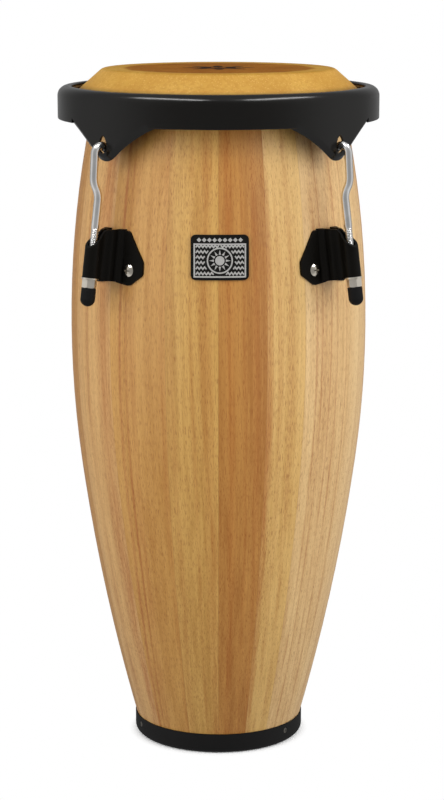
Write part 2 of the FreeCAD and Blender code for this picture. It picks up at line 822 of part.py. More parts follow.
def make_rim():
    """The rim, with a folded ear and its eye at each lug."""
    outer = size["rim_radius"]
    wall = size["rim_wall"]
    crest = size["ear_top"]
    lip = outer - size["ear_lip"]
    fold = wall / math.cos(math.radians(EAR_FOLD))
    ears = []
    eyes = []
    reliefs = []
    for place, angle in enumerate(LUG_ANGLES, start=1):
        block = ear_block(f"ear_block_{place}", sized(0.0), crest)
        hollow = ear_block(f"ear_hollow_{place}", fold, crest + EAR_CUT_MARGIN)
        skirt = cut(f"ear_skirt_{place}", rim_cylinder(f"ear_face_{place}", outer),
                    rim_cylinder(f"ear_core_{place}", lip))
        solid = common(f"ear_solid_{place}", block, skirt)
        void = common(f"ear_void_{place}", hollow, rim_cylinder(f"ear_back_{place}", outer - wall))
        ear = cut(f"ear_{place}", solid, void)
        ear.Placement = about_axis(angle)
        ears.append(ear)
        eye = padded(f"eye_{place}", "YZ_Plane", eye_outline(), outer + wall)
        eye.Placement = about_axis(angle)
        eyes.append(eye)
        spread = size["ear_half_angle"] * 2.0
        relief = turned(f"relief_{place}", [
            (lip, size["rim_bottom"] - wall),
            (outer + wall, size["rim_bottom"] - wall),
            (outer + wall, crest),
            (lip, crest),
        ], spread)
        relief.Placement = about_axis(angle - spread.number / 2.0)
        reliefs.append(relief)
    band = cut("relieved_band", rim_ring(), grouped("reliefs", reliefs))
    finished(cut("rim", fused("eared_band", [band, *ears]), grouped("eyes", eyes)), "rim")


# ---------------------------------------------------------------------------
# Tuning hooks and what is on them
# ---------------------------------------------------------------------------

def rod_point(along):
    """A point of the rod's lower axis, a distance above the nut's centre."""
    lean = size["rod_lean"]
    return (size["nut_ring"] - along * sine(lean), size["nut_height"] + along * cosine(lean))


def on_rod(angle, along):
    """The placement whose Z runs up the rod's lower axis."""
    ring, height = rod_point(sized(along))
    lean = FreeCAD.Rotation(FreeCAD.Vector(0, 1, 0), -size["rod_lean"].number)
    return about_axis(angle).multiply(FreeCAD.Placement(FreeCAD.Vector(ring.number, 0, height.number), lean))


ROD_FOOT = size["nut_thick"] / 2.0 + size["cap_depth"] - size["end_gap"]


def hook_route():
    """The rod's centre line: up the lug, out through the crank, over and down into the ear."""
    lean = size["rod_lean"]
    turn = size["crank_angle"]
    bend = size["crank_round"]
    upper = size["upper_lean"]
    over = size["hook_turn"]
    hook = size["hook_round"]
    start = rod_point(-ROD_FOOT)
    rise = (size["crank_height"] - size["nut_height"]) / cosine(lean)
    crank = rod_point(rise)
    middle = (crank[0] + bend * (cosine(lean) - cosine(turn)),
              crank[1] + bend * (sine(turn) + sine(lean)))
    upright = (middle[0] + bend * (cosine(upper) - cosine(turn)),
               middle[1] + bend * (sine(turn) + sine(upper)))
    shoulder = (upright[0] - (size["hook_height"] - upright[1]) * tangent(upper), size["hook_height"])
    crest = (shoulder[0] - hook * (cosine(upper) - cosine(over)),
             shoulder[1] + hook * (sine(over) - sine(upper)))
    tail = size["hook_tail"]
    end = (crest[0] - tail * sine(over), crest[1] + tail * cosine(over))
    return [
        start,
        (*crank, bend, -1),
        (*middle, bend, 1),
        upright,
        (*shoulder, hook, 1),
        crest,
        end,
    ]


def make_hook(place, angle):
    """A bent steel rod, swept along its centre line."""
    body = new_body(f"hook_{place}")
    route = draw(sketch_on(body, f"hook_{place}_route", "XZ_Plane"), hook_route(), closed=False)
    foot, level = rod_point(-ROD_FOOT)
    lean = FreeCAD.Rotation(FreeCAD.Vector(0, 1, 0), -size["rod_lean"].number)
    offset = FreeCAD.Placement(FreeCAD.Vector(foot.number, 0, level.number), lean)
    disc = sketch_on(body, f"hook_{place}_disc", "XY_Plane", offset)
    circle_in(disc, size["rod"])
    sweep = body.newObject("PartDesign::AdditivePipe", f"hook_{place}_sweep")
    sweep.Profile = (disc, [""])
    sweep.Spine = (route, [])
    sweep.Transition = "Round corner"
    finished(body, f"hook_{place}", about_axis(angle))


def make_lug_washer(place, angle):
    """The thin washer between nut and sleeve."""
    item = washer(f"lug_washer_{place}", size["rod"] + size["washer_play"], size["washer_radius"],
                  size["washer_thick"])
    finished(item, f"lug_washer_{place}", on_rod(angle, size["nut_thick"] / 2.0))


def make_lug_nut(place, angle):
    """The tuning nut, a running fit on the rod."""
    item = nut(f"lug_nut_{place}", size["nut_across"], size["nut_thick"], size["rod"] + size["thread_play"])
    finished(item, f"lug_nut_{place}", on_rod(angle, 0.0))


def make_rod_cap(place, angle):
    """The round-ended rubber cap pushed on to the rod's end."""
    rim = size["cap_radius"]
    length = size["cap_length"]
    soft = size["cap_edge"]
    item = turned(f"rod_cap_{place}", [
        (size["rod"], 0),
        (size["rod"], -size["cap_depth"]),
        (0, -size["cap_depth"]),
        (0, -length, rim, 1),
        (rim, rim - length),
        (rim, -soft, soft, 1),
        (rim - soft, 0),
    ])
    finished(item, f"rod_cap_{place}", on_rod(angle, -size["nut_thick"] / 2.0))


# ---------------------------------------------------------------------------
# Side brackets
# ---------------------------------------------------------------------------

# How far the stock of a bracket reaches before it is trimmed: the feet in foot roundings, the core
# as a share of the mouth's radius, the sleeve as a share of its height, and a bolt hole in plates.
FOOT_DEPTH = 3.0
BRACKET_CORE = 0.75
SLEEVE_STOCK = 1.5
HOLE_REACH = 4.0


def sleeve_outline(inward):
    """The bracket's section across the rod: sleeve, pinched neck, hump and feet.

    Across points away from the drum and the rod's axis is the origin.  The outline lies inward of
    the sheet's outer face by the given amount.
    """
    tube = size["bore"] + size["plate"] - inward
    neck = size["neck_round"] + inward
    hump = size["hump_round"] - inward
    neck_side = size["neck_half"] + size["neck_round"]
    neck_back = other_side(size["bore"] + size["plate"] + size["neck_round"], neck_side)
    hump_side = size["hump_half"] - size["hump_round"]
    reach = size["neck_round"] + size["hump_round"]
    hump_back = neck_back + other_side(reach, neck_side - hump_side)
    share = tube / (tube + neck)
    leave = (-share * neck_back, share * neck_side)
    share = hump / reach
    meet_across = -hump_back + share * (hump_back - neck_back)
    meet_side = hump_side + share * (neck_side - hump_side)
    half = hump_side + hump
    foot = size["foot_round"]
    rise = size["foot_rise"]
    deep = rise + foot * FOOT_DEPTH
    right = [
        (-hump_back, half, hump, -1),
        (meet_across, meet_side, neck, 1),
        (*leave, tube, -1),
    ]
    left = [
        (tube, 0, tube, -1),
        (leave[0], -leave[1], neck, 1),
        (meet_across, -meet_side, hump, -1),
        (-hump_back, -half),
    ]
    if inward.number > 0:
        return [(-deep, half), *right, *left, (-deep, -half)]
    spread = half + foot
    return [
        (-deep, spread),
        (-rise - foot, spread, foot, -1),
        (-rise, half),
        *right,
        *left,
        (-rise, -half, foot, -1),
        (-rise - foot, -spread),
        (-deep, -spread),
    ]


def sleeve_block(name, inward, low, length):
    """The sleeve's section pushed along the rod's axis."""
    ring, height = rod_point(sized(low))
    lean = FreeCAD.Rotation(FreeCAD.Vector(0, 1, 0), -size["rod_lean"].number)
    offset = FreeCAD.Placement(FreeCAD.Vector(ring.number, 0, height.number), lean)
    return padded(name, "XY_Plane", sleeve_outline(inward), length, offset)


def bracket_side_outline():
    """The bracket seen from the side: slanted mouth, square seat for the washer, stepped foot."""
    seat = rod_point(size["nut_thick"] / 2.0 + size["washer_thick"])
    lean = size["rod_lean"]
    tube = size["bore"] + size["plate"]
    wide = tube + size["plate"]
    lip_ring = rod_point((size["sleeve_lip"] - size["nut_height"]) / cosine(lean))[0] + tube
    fall = (size["flange_top"] - size["sleeve_lip"]) / (lip_ring - size["mouth_ring"])
    outer = seat[0] + wide * cosine(lean)
    step = size["step_ring"]
    inner = size["mouth_ring"] * BRACKET_CORE
    return [
        (inner, size["flange_bottom"]),
        (size["belly_radius"], size["flange_bottom"]),
        (step, size["flange_bottom"] + size["step_rise"]),
        (step, seat[1] - (seat[0] - step) * tangent(lean)),
        (outer, seat[1] + wide * sine(lean)),
        (outer, size["sleeve_lip"] - (outer - lip_ring) * fall),
        (size["mouth_ring"], size["flange_top"]),
        (inner, size["flange_top"]),
    ]


def plate_outline():
    """The bracket's flanges seen from straight ahead."""
    crown = size["flange_crown_half"]
    toe = size["flange_toe_half"]
    half = size["flange_half"]
    return [
        (0, size["flange_bottom"]),
        (toe, size["flange_toe_bottom"]),
        (half, size["flange_side_bottom"]),
        (half, size["flange_side_top"]),
        (crown, size["flange_crown_top"]),
        (0, size["flange_top"]),
        (-crown, size["flange_crown_top"]),
        (-half, size["flange_side_top"]),
        (-half, size["flange_side_bottom"]),
        (-toe, size["flange_toe_bottom"]),
    ]


def rounded_plate(name):
    """The flange outline as a long prism with rounded corners."""
    body = padded(name, "YZ_Plane", plate_outline(), size["rim_radius"])
    doc.recompute()
    pad = body.Tip
    corners = []
    for number, edge in enumerate(pad.Shape.Edges, start=1):
        first, last = edge.Vertexes[0].Point, edge.Vertexes[-1].Point
        lengthways = abs(first.x - last.x) > 1.0
        if lengthways and abs(first.y) > size["hump_half"].number:
            corners.append(f"Edge{number}")
    fillet = body.newObject("PartDesign::Fillet", name + "_corners")
    fillet.Base = (pad, corners)
    bind(fillet, "Radius", size["flange_corner"])
    return body


def make_bracket(place, angle, band, plug):
    """A folded steel bracket, wrapped round the rod and bolted flat to the staves."""
    name = f"bracket_{place}"
    plate = common(name + "_plate", band, rounded_plate(name + "_outline"))
    low = size["flange_bottom"] - size["nut_height"] - size["nut_thick"]
    length = (size["flange_top"] - size["flange_bottom"]) * SLEEVE_STOCK
    bulk = sleeve_block(name + "_bulk", sized(0.0), low, length)
    width = size["flange_half"] * 2.0
    side = padded(name + "_side", "XZ_Plane", bracket_side_outline(), width, midplane=True)
    trimmed = cut(name + "_trimmed", common(name + "_sleeve", bulk, side), plug)
    solid = fused(name + "_solid", [plate, trimmed])
    hollow = sleeve_block(name + "_hollow", size["plate"], low, length)
    tools = [hollow]
    for sign in (-1, 1):
        spot = bolt_placement(sign * BOLT_SPREAD, size["plate"].number)
        tag = "left" if sign < 0 else "right"
        tools.append(drill(f"{name}_{tag}_hole", size["bolt"], size["plate"] * HOLE_REACH, spot))
    finished(cut(name, solid, grouped(name + "_tools", tools)), name, about_axis(angle))


def make_brackets():
    """The four brackets, cut to the shell's own curve."""
    low = size["flange_toe_bottom"] - size["bolt_head"]
    high = size["flange_top"] + size["bolt_head"]
    band = ring_between("flange_band", low, high, sized(0.0), size["plate"])
    plug = turned("shell_plug", [
        (0, low),
        (upper_ring(low), low, size["upper_sweep"], 1),
        (upper_ring(high), high),
        (0, high),
    ])
    for place, angle in enumerate(LUG_ANGLES, start=1):
        make_bracket(place, angle, band, plug)


# ---------------------------------------------------------------------------
# Badge
# ---------------------------------------------------------------------------

# The bands that the badge is cut from are this much taller than the badge.
BADGE_STOCK = 1.5


def badge_outline():
    """A rectangle with round corners."""
    wide = size["badge_half_width"]
    tall = size["badge_half_height"]
    bend = size["badge_corner"]
    middle = size["badge_height"]
    return [
        (bend - wide, middle - tall),
        (wide - bend, middle - tall, bend, 1),
        (wide, middle - tall + bend),
        (wide, middle + tall - bend, bend, 1),
        (wide - bend, middle + tall),
        (bend - wide, middle + tall, bend, 1),
        (-wide, middle + tall - bend),
        (-wide, middle - tall + bend, bend, 1),
    ]


def make_badge():
    """The curved metal badge on its adhesive pad."""
    low = size["badge_height"] - size["badge_half_height"] * BADGE_STOCK
    high = size["badge_height"] + size["badge_half_height"] * BADGE_STOCK
    pad = size["pad_thick"]
    face = pad + size["badge_thick"]
    for label, inner, outer in (("badge_pad", sized(0.0), pad), ("badge_plate", pad, face)):
        band = ring_between(label + "_band", low, high, inner, outer)
        prism = padded(label + "_outline", "YZ_Plane", badge_outline(), size["rim_radius"])
        finished(common(label, band, prism), label, about_axis(BADGE_ANGLE))


# ---------------------------------------------------------------------------
# The whole drum
# ---------------------------------------------------------------------------

def make_drum():
    """Every piece of the drum."""
    make_staves()
    make_foot()
    make_head()
    make_rim()
    make_bracket_bolts()
    make_brackets()
    for place, angle in enumerate(LUG_ANGLES, start=1):
        make_hook(place, angle)
        make_lug_washer(place, angle)
        make_lug_nut(place, angle)
        make_rod_cap(place, angle)
    make_badge()


def check_document():
    """Stop if any object failed or any sub-part has no sound shape."""
    for item in doc.Objects:
        if "Invalid" in item.State or "Error" in item.State:
            raise RuntimeError(f"{item.Name} failed: {item.State}")
    for item in subparts:
        shape = item.Shape
        if shape.isNull() or not shape.isValid() or shape.Volume <= 0:
            raise RuntimeError(f"{item.Label} has no sound shape")


def write_parts():
    """One STEP file for each sub-part."""
    os.makedirs("parts", exist_ok=True)
    for item in subparts:
        item.Shape.exportStep(f"parts/{item.Label}.step")
        print(f"{item.Label}: {len(item.Shape.Solids)} solids, {item.Shape.Volume / 1000:.2f} cm3")


make_drum()
doc.recompute()
check_document()
write_parts()
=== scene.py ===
import math
import random

import bmesh
import bpy
from mathutils import Matrix, Vector


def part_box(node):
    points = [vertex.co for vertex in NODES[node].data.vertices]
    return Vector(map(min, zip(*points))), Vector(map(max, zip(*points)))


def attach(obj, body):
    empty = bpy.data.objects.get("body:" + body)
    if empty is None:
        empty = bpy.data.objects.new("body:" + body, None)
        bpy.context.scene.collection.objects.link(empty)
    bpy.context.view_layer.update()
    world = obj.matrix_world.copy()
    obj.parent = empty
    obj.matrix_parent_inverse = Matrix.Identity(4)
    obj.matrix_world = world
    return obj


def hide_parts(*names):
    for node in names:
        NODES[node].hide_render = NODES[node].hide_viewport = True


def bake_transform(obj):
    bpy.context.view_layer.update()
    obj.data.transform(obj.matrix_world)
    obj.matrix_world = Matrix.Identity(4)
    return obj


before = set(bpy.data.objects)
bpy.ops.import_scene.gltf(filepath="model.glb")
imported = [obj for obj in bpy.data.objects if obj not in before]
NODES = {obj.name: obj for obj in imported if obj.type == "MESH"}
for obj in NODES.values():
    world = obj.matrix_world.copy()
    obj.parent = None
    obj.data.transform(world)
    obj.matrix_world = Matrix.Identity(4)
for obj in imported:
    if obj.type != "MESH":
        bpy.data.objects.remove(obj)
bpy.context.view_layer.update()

# The looks of a small conga drum: a stave shell with a hide head, a black rim
# with four tuning hooks in side brackets, and a rubber foot ring.
# Z is up, the drum's axis is the Z axis, and the front is towards -Y.

MM = 0.001

# ---------------------------------------------------------------------------
# The drum's own sizes, in metres
# ---------------------------------------------------------------------------

TOTAL_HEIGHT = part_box("drumhead")[1].z
BELLY_RADIUS = 154.4 * MM
BELLY_HEIGHT = 443.1 * MM
UPPER_SWEEP = 1080.0 * MM
LUG_ANGLES = (-45.0, 45.0, 135.0, 225.0)
FIRST_JOINT = -162.0
STAVE_WIDTHS = (25.5, 25, 20, 18.5, 16, 26, 21, 18, 21, 19, 19, 20, 19, 15, 15, 19, 23, 20)

SKIN = 2.5 * MM
BEARING_ROUND = 6.0 * MM
HOOP_RING = 156.0 * MM
HOOP_HEIGHT = 684.5 * MM
HOOP_WIRE = 4.0 * MM
COLLAR_SLOPE = 41.2
TUCK_ANGLE = 45.0

ROD = 4.0 * MM
ROD_LEAN = 9.0
NUT_RING = 186.0 * MM
NUT_HEIGHT = 506.0 * MM
ROD_FOOT = 16.2 * MM
CRANK_HEIGHT = 587.0 * MM
CRANK_ROUND = 20.0 * MM
CRANK_ANGLE = 30.0
UPPER_LEAN = 4.0
HOOK_HEIGHT = 634.0 * MM
HOOK_ROUND = 8.0 * MM
HOOK_TURN = 130.0
HOOK_TAIL = 10.0 * MM
THREAD_TOP = 562.0 * MM
THREAD_PITCH = 1.6 * MM
THREAD_DEPTH = 0.65 * MM

BADGE_ANGLE = -91.0
BADGE_HEIGHT = 534.3 * MM
BADGE_PROUD = 1.8 * MM
BADGE_HALF_WIDTH = 28.7 * MM
BADGE_HALF_HEIGHT = 22.25 * MM


def shell_radius(height):
    """Outer radius of the wood above the place where its two side curves meet."""
    rise = height - BELLY_HEIGHT
    return BELLY_RADIUS - UPPER_SWEEP + math.sqrt(UPPER_SWEEP ** 2 - rise ** 2)


def turn_about_axis(angle):
    """The turn about the drum's axis by an angle in degrees."""
    return Matrix.Rotation(math.radians(angle), 4, "Z")


# ---------------------------------------------------------------------------
# Materials: a small language for node trees
# ---------------------------------------------------------------------------

def tone(red, green, blue):
    """A colour given as it looks on a screen, 0 to 255, as linear light."""
    return tuple(((c / 255 + 0.055) / 1.055) ** 2.4 for c in (red, green, blue)) + (1.0,)


class Tree:
    """The nodes of a material or of the sky, with short calls for the ones they need."""

    def __init__(self, owner, output):
        owner.use_nodes = True
        self.nodes = owner.node_tree.nodes
        self.links = owner.node_tree.links
        self.nodes.clear()
        self.surface = self.nodes.new(output).inputs["Surface"]

    def put(self, socket, value):
        """Give a socket a number, a colour or another node's output."""
        if isinstance(value, bpy.types.NodeSocket):
            self.links.new(value, socket)
        else:
            socket.default_value = value

    def node(self, kind, inputs, **settings):
        """A node with its settings and its inputs, by name or by number."""
        made = self.nodes.new(kind)
        for name, value in settings.items():
            setattr(made, name, value)
        for name, value in inputs.items():
            self.put(made.inputs[name], value)
        return made

    def math(self, operation, *values, clamp=False):
        """Arithmetic on numbers or outputs."""
        made = self.node("ShaderNodeMath", dict(enumerate(values)), operation=operation)
        made.use_clamp = clamp
        return made.outputs[0]

    def times(self, first, second):
        """The product of two values."""
        return self.math("MULTIPLY", first, second)

    def scaled(self, value, factor, extra):
        """A value times a factor, plus an extra."""
        return self.math("MULTIPLY_ADD", value, factor, extra)

    def less(self, value, taken):
        """A value with another taken from it."""
        return self.math("SUBTRACT", value, taken)

    def flat_length(self, x, y):
        """The length of a flat vector from its two parts."""
        return self.math("SQRT", self.total(self.times(x, x), self.times(y, y)))

    def total(self, *values):
        """The sum of several outputs."""
        result = values[0]
        for value in values[1:]:
            result = self.math("ADD", result, value)
        return result

    def split(self, vector):
        """The three parts of a vector."""
        return self.node("ShaderNodeSeparateXYZ", {0: vector}).outputs

    def vector(self, across, depth, along):
        """A vector from its three parts."""
        return self.node("ShaderNodeCombineXYZ", {0: across, 1: depth, 2: along}).outputs[0]

    def noise(self, vector, scale=1.0, detail=2.0, roughness=0.5):
        """Smooth noise between 0 and 1."""
        made = self.node("ShaderNodeTexNoise", {
            "Vector": vector, "Scale": scale, "Detail": detail, "Roughness": roughness})
        return made.outputs["Fac"]

    def cells(self, vector, scale):
        """Distance to the nearest of scattered points."""
        made = self.node("ShaderNodeTexVoronoi", {"Vector": vector, "Scale": scale})
        return made.outputs["Distance"]

    def step(self, value, low, high, start=0.0, end=1.0):
        """A soft step from start to end as the value goes from low to high."""
        made = self.node("ShaderNodeMapRange", {
            "Value": value, "From Min": low, "From Max": high, "To Min": start, "To Max": end},
            interpolation_type="SMOOTHSTEP")
        return made.outputs["Result"]

    def mix(self, share, first, second):
        """A colour between two colours."""
        made = self.node("ShaderNodeMix", {"Factor": share}, data_type="RGBA")
        colours = [s for s in made.inputs if s.type == "RGBA"]
        self.put(colours[0], first)
        self.put(colours[1], second)
        return [s for s in made.outputs if s.type == "RGBA"][0]

    def blended(self, share, first, second):
        """A shader between two shaders."""
        return self.node("ShaderNodeMixShader", {0: share, 1: first, 2: second}).outputs[0]

    def bump(self, height, depth, strength=1.0):
        """A surface raised by height times depth, in metres."""
        made = self.node("ShaderNodeBump", {"Height": height, "Distance": depth, "Strength": strength})
        return made.outputs["Normal"]


class Finish(Tree):
    """A material with one main shader."""

    def __init__(self, name):
        self.material = bpy.data.materials.new(name)
        super().__init__(self.material, "ShaderNodeOutputMaterial")
        self.shader = self.nodes.new("ShaderNodeBsdfPrincipled")
        self.put(self.surface, self.shader.outputs["BSDF"])
        self.place = self.nodes.new("ShaderNodeTexCoord").outputs["Object"]

    def finish(self, **sockets):
        """Set the main shader's inputs, words joined by _ as in Base_Color."""
        for name, value in sockets.items():
            self.put(self.shader.inputs[name.replace("_", " ")], value)
        return self.material


# ---------------------------------------------------------------------------
# Wood
# ---------------------------------------------------------------------------

MEAN_RING = 150.0 * MM
GRAIN_WANDER = 9.0 * MM
GLUE_LINE = 0.35 * MM
VARNISHED_DEPTH = 6.0 * MM
PORE = tone(142, 74, 26)
BLUSH = tone(172, 98, 38)
GLUE = tone(150, 100, 55)
RAW_INSIDE = tone(196, 160, 112)

# Each board: its paler and its darker colour, then its bands: place and half
# width in degrees from the board's middle, and strength.
# The front boards' colours are partly their own tone and partly painted sheen: boards 1, 6 and 7, at the two
# edges of the front view, are paler to stand in for light grazing the wall there.
FRONT_BOARDS = {
    1: ((224, 179, 114), (200, 151, 90), ((-3.0, 1.6, 0.3), (8.5, 3.6, 0.65))),
    2: ((212, 162, 88), (188, 134, 62),
        ((-9.2, 0.9, 0.9), (-6.0, 0.6, 0.8), (-3.4, 1.6, 0.35), (9.5, 1.2, 0.35))),
    3: ((218, 173, 97), (193, 145, 73), ((-6.0, 1.2, 0.3), (2.0, 0.8, 0.3), (7.5, 2.6, 0.5))),
    4: ((200, 145, 74), (172, 115, 52), ((-3.0, 1.6, 0.5), (2.5, 0.8, 0.3), (7.0, 1.2, 0.35))),
    5: ((226, 186, 114), (203, 158, 88), ((-6.5, 2.4, 0.75), (-1.5, 1.2, 0.3), (3.0, 1.0, 0.25))),
    6: ((230, 195, 137), (204, 161, 104),
        ((-7.0, 0.5, 0.45), (-4.0, 0.4, 0.55), (1.0, 0.5, 0.45), (5.0, 0.6, 0.55), (11.5, 0.5, 0.5))),
    7: ((230, 196, 140), (212, 171, 114), ((-2.0, 1.0, 0.3), (5.0, 1.5, 0.3))),
}


def board(place):
    """The colours and bands of a stave: the front ones chosen, the others drawn at random from a seed."""
    if place in FRONT_BOARDS:
        return FRONT_BOARDS[place]
    draw = random.Random(place)
    lift = draw.uniform(-12, 12)
    warm = draw.uniform(-6, 6)
    pale = (209 + lift, 158 + lift, 86 + lift - warm)
    deep = (180 + lift, 125 + lift - warm, 57 + lift - warm)
    bands = [(draw.uniform(-8, 8), draw.uniform(0.4, 1.8), draw.uniform(0.2, 0.7)) for _ in range(4)]
    return pale, deep, bands


def wood(name, place, facing):
    """Clear-finished wood with upright grain, following one stave that faces an angle in degrees."""
    pale, deep, bands = board(place)
    finish = Finish(name)
    turned = finish.node("ShaderNodeVectorRotate", {
        "Vector": finish.place, "Axis": (0, 0, 1), "Angle": -math.radians(facing)},
        rotation_type="AXIS_ANGLE").outputs[0]
    x, y, along = finish.split(turned)
    ring = finish.flat_length(x, y)
    angle = finish.math("ARCTAN2", y, x)
    reach = finish.times(finish.total(ring, MEAN_RING), 0.5)
    seed = place * 7.31

    # grain lines wander a little and lean a little, as the log grew
    lean = random.Random(100 + place).uniform(-0.012, 0.012)
    drift = finish.noise(finish.vector(finish.times(angle, 2.0), seed, finish.times(along, 2.6)))
    shift = finish.scaled(drift, GRAIN_WANDER, -GRAIN_WANDER / 2)
    shift = finish.total(shift, finish.times(along, lean))
    across = finish.total(finish.times(angle, reach), shift)

    def grain(across_rate, along_rate, detail, extra=0.0):
        """One layer of grain: how fast it changes across and along the board, and its own offset."""
        place_in_board = finish.vector(
            finish.times(across, across_rate),
            finish.scaled(ring, across_rate * 0.35, extra),
            finish.scaled(along, along_rate, seed + extra))
        return finish.noise(place_in_board, detail=detail, roughness=0.55)

    broad = finish.step(grain(62.0, 0.9, 2.0), 0.34, 0.68)
    streak = finish.step(grain(240.0, 3.2, 2.0, 3.0), 0.36, 0.68)
    fibre = finish.step(grain(1100.0, 16.0, 2.0, 5.0), 0.3, 0.72)
    vessel = grain(2300.0, 140.0, 1.0, 11.0)
    patch = finish.step(grain(34.0, 5.0, 1.0, 17.0), 0.3, 0.7)

    # the board's two colours by its grain, then its own darker bands with ragged edges
    dark = finish.total(finish.times(broad, 0.46), finish.times(streak, 0.4), finish.times(fibre, 0.36))
    band = None
    degrees = math.radians(1.0) * MEAN_RING
    for middle, half, strength in bands:
        away = finish.math("ABSOLUTE", finish.less(across, middle * degrees))
        ridge = finish.step(away, 0.0, 1.6 * half * degrees, strength, 0.0)
        band = ridge if band is None else finish.math("MAXIMUM", band, ridge)
    ragged = finish.times(band, finish.scaled(streak, 0.6, 0.55))
    colour = finish.mix(finish.math("MINIMUM", dark, 1.0), tone(*pale), tone(*deep))
    colour = finish.mix(finish.math("MULTIPLY", ragged, 0.75, clamp=True), colour, BLUSH)

    # the open pores show as short dark upright dashes, more of them in the darker bands
    crowd = finish.total(finish.times(patch, 0.035), finish.times(broad, 0.03), finish.times(ragged, 0.06))
    pores = finish.step(finish.math("ADD", vessel, crowd), 0.58, 0.72)
    colour = finish.mix(finish.times(pores, 0.58), colour, PORE)

    # a hair-thin glue line along each edge of the board
    half_board = math.radians(STAVE_WIDTHS[place - 1] / 2)
    to_edge = finish.times(finish.less(half_board, finish.math("ABSOLUTE", angle)), ring)
    glued = finish.step(to_edge, 0.0, GLUE_LINE, 0.45, 0.0)
    colour = finish.mix(glued, colour, GLUE)

    # the wall's inner face is raw: paler and without gloss
    rise = finish.less(along, BELLY_HEIGHT)
    varnish_ends = finish.scaled(finish.times(rise, rise), -0.5 / UPPER_SWEEP, BELLY_RADIUS - VARNISHED_DEPTH)
    outside = finish.step(finish.less(ring, varnish_ends), 0.0, 1.0 * MM)
    colour = finish.mix(outside, finish.mix(0.55, colour, RAW_INSIDE), colour)

    relief = finish.less(finish.times(fibre, 0.25), pores)
    return finish.finish(
        Base_Color=colour,
        Roughness=finish.scaled(outside, -0.3, finish.scaled(pores, 0.12, 0.76)),
        Coat_Weight=finish.times(outside, 0.22),
        Coat_Roughness=0.28,
        Normal=finish.bump(relief, 0.05 * MM, 0.5))


# ---------------------------------------------------------------------------
# Hide
# ---------------------------------------------------------------------------

# the head's browner middle, which sits a little to the front of the axis
BROWN_RING = 92.0 * MM
BROWN_UNEVEN = 10.0 * MM
BROWN_FORWARD = 5.0 * MM

# the printed rosette at the middle of the head
ROSETTE_LEAVES = 8
ROSETTE_RING = 13.6 * MM
ROSETTE_RING_HALF = 5.4 * MM
ROSETTE_RAY_FOOT = 18.5 * MM
ROSETTE_RAY_LENGTH = 19.0 * MM
ROSETTE_RAY_START = 14.0 * MM
PETAL_FOOT = 3.2 * MM
PETAL_LENGTH = 2.6 * MM
PRINT_EDGE = 0.4 * MM


def rosette(finish, x, y, ring):
    """Where the print is: a flower, a ring round it and pointed rays outside the ring."""
    turn = finish.math("ARCTAN2", y, x)
    leaf = finish.math("ABSOLUTE", finish.math("COSINE", finish.times(turn, ROSETTE_LEAVES / 2)))
    tip = finish.scaled(finish.math("POWER", leaf, 3.0), ROSETTE_RAY_LENGTH, ROSETTE_RAY_FOOT)
    inside_tip = finish.step(finish.less(tip, ring), -PRINT_EDGE, PRINT_EDGE)
    outside_ring = finish.step(finish.less(ring, ROSETTE_RAY_START), -PRINT_EDGE, PRINT_EDGE)
    petal = finish.scaled(leaf, PETAL_LENGTH, PETAL_FOOT)
    flower = finish.step(finish.less(petal, ring), -PRINT_EDGE, PRINT_EDGE)
    off_line = finish.math("ABSOLUTE", finish.less(ring, ROSETTE_RING))
    circle = finish.step(off_line, ROSETTE_RING_HALF, ROSETTE_RING_HALF + 0.7 * MM, 1.0, 0.0)
    rays = finish.times(inside_tip, outside_ring)
    return finish.math("MAXIMUM", rays, finish.math("MAXIMUM", circle, flower))


def hide():
    """Golden skin: a mottled collar with painted shade just above the hoop, under the rim, and a browner flat
    middle with a dark print.
    """
    finish = Finish("golden_hide")
    x, y, height = finish.split(finish.place)
    ring = finish.flat_length(x, y)
    cloud = finish.noise(finish.place, 22.0, 3.0)
    mottle = finish.noise(finish.place, 260.0, 3.0, 0.6)
    speck = finish.cells(finish.place, 420.0)

    collar = finish.mix(finish.step(cloud, 0.3, 0.7), tone(226, 175, 78), tone(212, 158, 62))
    collar = finish.mix(finish.step(mottle, 0.42, 0.64, 0.0, 0.5), collar, tone(205, 146, 56))
    collar = finish.mix(finish.step(speck, 0.12, 0.3, 0.55, 0.0), collar, tone(246, 206, 122))
    # painted shade: the collar turns dark brown just above the hoop, standing in for the rim's shadow on the
    # skin tucked under it
    wrapped = HOOP_HEIGHT + HOOP_WIRE + SKIN
    low = finish.step(height, wrapped - 2.0 * MM, wrapped + 5.0 * MM, 0.7, 0.0)
    collar = finish.mix(low, collar, tone(70, 44, 18))

    top = finish.mix(finish.step(cloud, 0.25, 0.75), tone(188, 120, 30), tone(162, 96, 20))
    top = finish.mix(finish.step(mottle, 0.35, 0.7, 0.0, 0.4), top, tone(142, 80, 18))

    printed = finish.times(rosette(finish, x, y, ring), finish.step(mottle, 0.25, 0.6, 0.85, 0.98))
    top = finish.mix(printed, top, tone(30, 18, 10))

    # the browner middle has a soft, uneven edge well inside the head's rounded one
    edge = finish.scaled(finish.noise(finish.place, 60.0, 3.0), BROWN_UNEVEN, BROWN_RING)
    from_middle = finish.flat_length(x, finish.math("ADD", y, BROWN_FORWARD))
    middle = finish.step(finish.less(from_middle, edge), -4.0 * MM, 4.0 * MM, 1.0, 0.0)
    on_top = finish.step(height, TOTAL_HEIGHT - 1.6 * MM, TOTAL_HEIGHT - 0.3 * MM)
    return finish.finish(
        Base_Color=finish.mix(finish.times(middle, on_top), collar, top),
        Roughness=finish.step(mottle, 0.2, 0.8, 0.54, 0.68),
        Specular_IOR_Level=finish.scaled(on_top, -0.18, 0.2),
        Subsurface_Weight=0.06,
        Subsurface_Radius=(0.004, 0.002, 0.001),
        Normal=finish.bump(finish.total(mottle, finish.times(speck, 0.5)), 0.12 * MM, 0.45))


# ---------------------------------------------------------------------------
# Paint, rubber and metal
# ---------------------------------------------------------------------------

def darker(colour, share):
    """A colour with each part scaled down alike."""
    return tuple(c * share for c in colour[:3]) + (1.0,)


